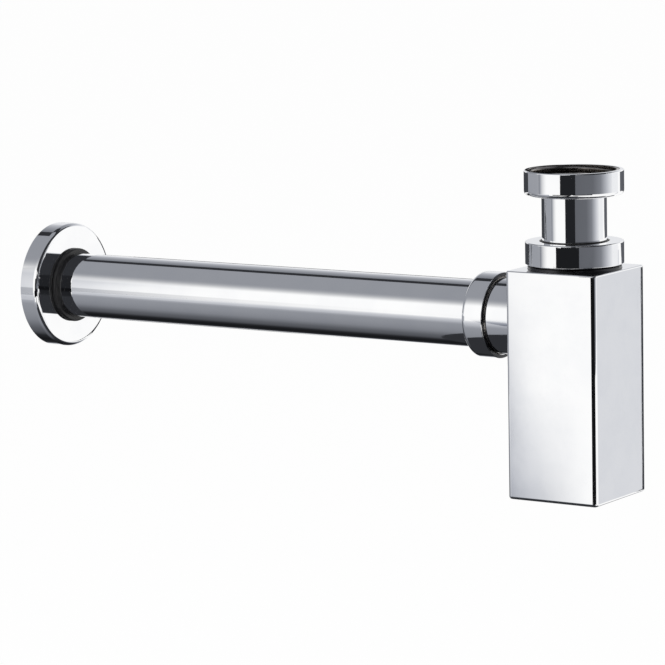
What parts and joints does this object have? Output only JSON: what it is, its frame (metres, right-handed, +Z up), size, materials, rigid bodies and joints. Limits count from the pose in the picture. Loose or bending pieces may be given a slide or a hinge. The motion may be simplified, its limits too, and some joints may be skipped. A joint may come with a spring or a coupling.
{
  "type": "bottle trap",
  "caption": "Chromed bottle trap for a wash basin: threaded inlet union, telescopic inlet tube, square bottle and a straight outlet pipe with a sliding wall flange.",
  "frame": {"origin": "on the inlet axis, on the washer face inside the union nut where the basin waste seats", "axes": "+Z up along the inlet axis and out of the union nut's mouth, -X along the outlet pipe towards the wall"},
  "size_m": [0.3345, 0.062, 0.1521],
  "materials": {
    "chrome_plate": "polished chrome plate on brass",
    "black_rubber": "moulded, satin",
    "white_plastic": "moulded, matt"
  },
  "bodies": {
    "inlet_union": {"union_nut": "chrome_plate", "inlet_washer": "black_rubber"},
    "inlet_tube": {"inlet_tube": "chrome_plate"},
    "bottle": {"trap_body": "chrome_plate", "inlet_seal": "black_rubber", "outlet_seal": "black_rubber"},
    "inlet_slip_ring": {"inlet_slip_ring": "white_plastic"},
    "inlet_gland_nut": {"inlet_gland_nut": "chrome_plate"},
    "outlet_slip_ring": {"outlet_slip_ring": "white_plastic"},
    "outlet_gland_nut": {"outlet_gland_nut": "chrome_plate"},
    "outlet_pipe": {"outlet_pipe": "chrome_plate"},
    "flange": {"wall_flange": "chrome_plate", "flange_ring": "black_rubber"},
    "plug_gasket": {"plug_gasket": "black_rubber"},
    "clean_out_plug": {"clean_out_plug": "chrome_plate"}
  },
  "joints": [
    {"name": "inlet_swivel", "type": "hinge", "parent": "inlet_union", "child": "inlet_tube", "pos_m": [0, 0, 0], "axis": [0, 0, 1], "continuous": true},
    {"name": "height_slide", "type": "slide", "parent": "inlet_tube", "child": "bottle", "axis": [0, 0, 1], "range_m": [-0.02, 0.005]},
    {"name": "inlet_nut_lift", "type": "slide", "parent": "bottle", "child": "inlet_slip_ring", "axis": [0, 0, 1], "range_m": [0, 0.005]},
    {"name": "inlet_nut_turn", "type": "hinge", "parent": "inlet_slip_ring", "child": "inlet_gland_nut", "pos_m": [0, 0, -0.0326], "axis": [0, 0, 1], "range_deg": [0, 1800]},
    {"name": "outlet_nut_draw", "type": "slide", "parent": "bottle", "child": "outlet_slip_ring", "axis": [-1, 0, 0], "range_m": [0, 0.005]},
    {"name": "outlet_nut_turn", "type": "hinge", "parent": "outlet_slip_ring", "child": "outlet_gland_nut", "pos_m": [-0.04435, 0, -0.0645], "axis": [-1, 0, 0], "range_deg": [0, 1800]},
    {"name": "pipe_slide", "type": "slide", "parent": "bottle", "child": "outlet_pipe", "axis": [-1, 0, 0], "range_m": [-0.0035, 0.01]},
    {"name": "flange_slide", "type": "slide", "parent": "outlet_pipe", "child": "flange", "axis": [1, 0, 0], "range_m": [-0.004, 0.22]},
    {"name": "plug_drop", "type": "slide", "parent": "bottle", "child": "plug_gasket", "axis": [0, 0, -1], "range_m": [0, 0.003]},
    {"name": "plug_turn", "type": "hinge", "parent": "plug_gasket", "child": "clean_out_plug", "pos_m": [0, 0, -0.1465], "axis": [0, 0, -1], "range_deg": [0, 1080]}
  ],
  "couplings": [
    {"joint": "inlet_nut_lift", "follows": "inlet_nut_turn", "m_per_rad": 0.000159},
    {"joint": "outlet_nut_draw", "follows": "outlet_nut_turn", "m_per_rad": 0.000159},
    {"joint": "plug_drop", "follows": "plug_turn", "m_per_rad": 0.000159}
  ]
}
